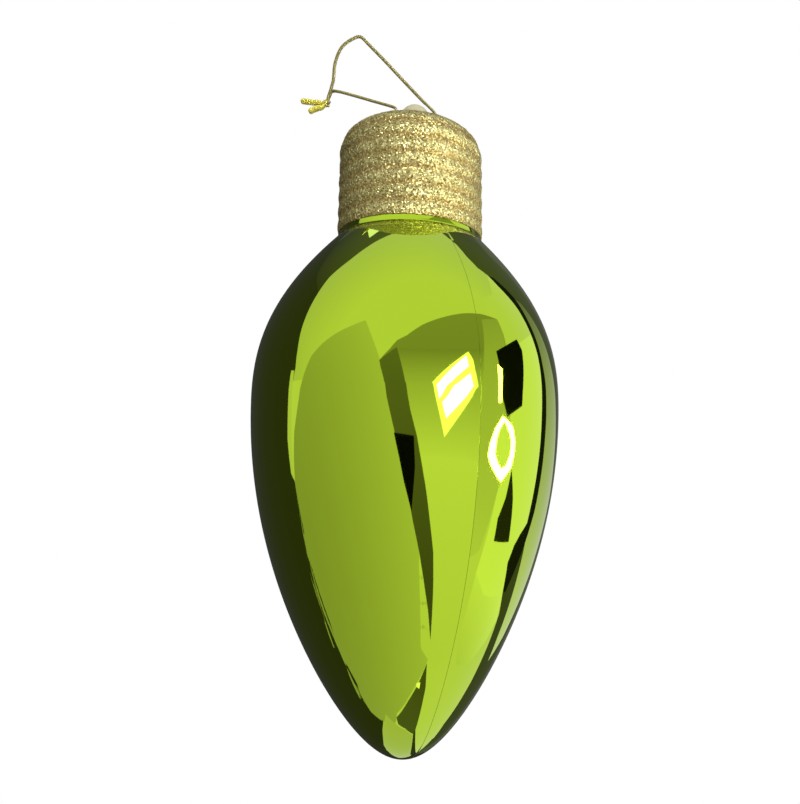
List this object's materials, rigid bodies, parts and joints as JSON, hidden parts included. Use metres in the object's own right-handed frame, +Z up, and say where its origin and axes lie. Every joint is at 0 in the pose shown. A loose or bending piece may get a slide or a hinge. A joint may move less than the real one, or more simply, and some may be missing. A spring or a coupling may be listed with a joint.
{
  "type": "bulb ornament",
  "caption": "Large hollow light-bulb ornament: mirror-bright lime-green egg-shaped shell, ridged gold glitter screw cap, frosted hanging plug and a gold cord loop.",
  "frame": {"origin": "middle of the cross hole in the hanging plug, where the cord loop carries the ornament", "axes": "+Z up along the bulb's axis, tip down; +X along the cross hole, to the right in the picture; the picture looks along +Y"},
  "size_m": [0.0692, 0.0692, 0.1697],
  "materials": {
    "shell_lime_mirror": "metallised inside a clear lime-green lacquer, mirror bright",
    "cap_gold_glitter": "moulded plastic covered with fine gold glitter",
    "glue_clear": "hot-melt glue, cloudy clear",
    "plug_frosted": "milky translucent plastic",
    "cord_gold": "thin cord wrapped in gold metallic thread"
  },
  "bodies": {
    "cord": {"cord_in_eye": "cord_gold", "cord_right_strand": "cord_gold", "cord_left_strand": "cord_gold", "cord_left_leg": "cord_gold", "cord_tail_upper": "cord_gold", "cord_tail_lower": "cord_gold", "cord_knot": "cord_gold"},
    "ornament": {"shell_left_half": "shell_lime_mirror", "shell_right_half": "shell_lime_mirror", "screw_cap": "cap_gold_glitter", "cap_glue_ring": "glue_clear", "hanger_plug": "plug_frosted"}
  },
  "joints": [
    {"name": "ornament_swing", "type": "hinge", "parent": "cord", "child": "ornament", "pos_m": [0, 0, 0], "axis": [1, 0, 0], "range_deg": [-90, 90]}
  ]
}
